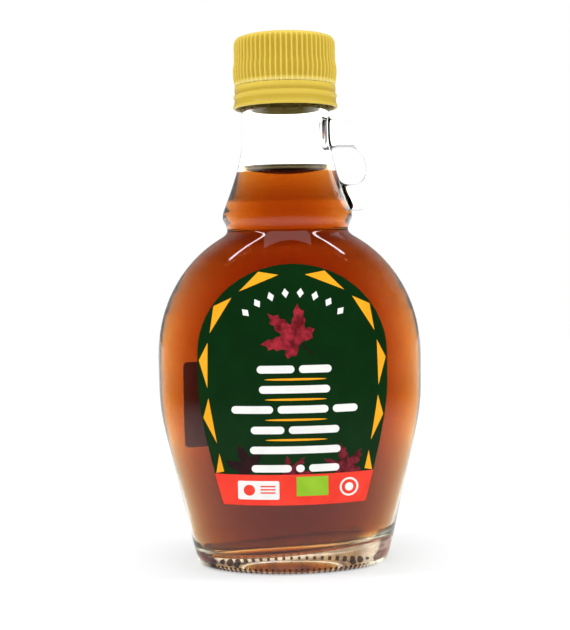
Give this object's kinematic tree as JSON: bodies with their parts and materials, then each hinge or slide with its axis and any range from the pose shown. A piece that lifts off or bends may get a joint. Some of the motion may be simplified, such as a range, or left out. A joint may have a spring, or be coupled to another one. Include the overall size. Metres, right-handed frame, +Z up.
{
  "type": "maple syrup bottle",
  "caption": "Oval clear glass flask of maple syrup with a small ear handle on its ringed neck, a ribbed yellow screw cap and paper labels front and back.",
  "frame": {"origin": "centre of the foot, on the plane that the flask stands on", "axes": "+Z up through the neck, +X towards the ear handle, the front label faces -Y"},
  "size_m": [0.0834, 0.0562, 0.1658],
  "materials": {
    "clear_glass": "clear moulded flint glass, fire polished",
    "syrup": "clear dark amber syrup, red-brown where it is thick and orange at the edges",
    "cap_plastic": "moulded golden yellow plastic with a soft sheen",
    "label_paper": "dark green printed paper with a satin varnish"
  },
  "bodies": {
    "root": {"glass_flask": "clear_glass", "syrup": "syrup", "screw_cap": "cap_plastic", "tamper_ring": "cap_plastic", "front_label": "label_paper", "back_label": "label_paper"}
  },
  "joints": []
}
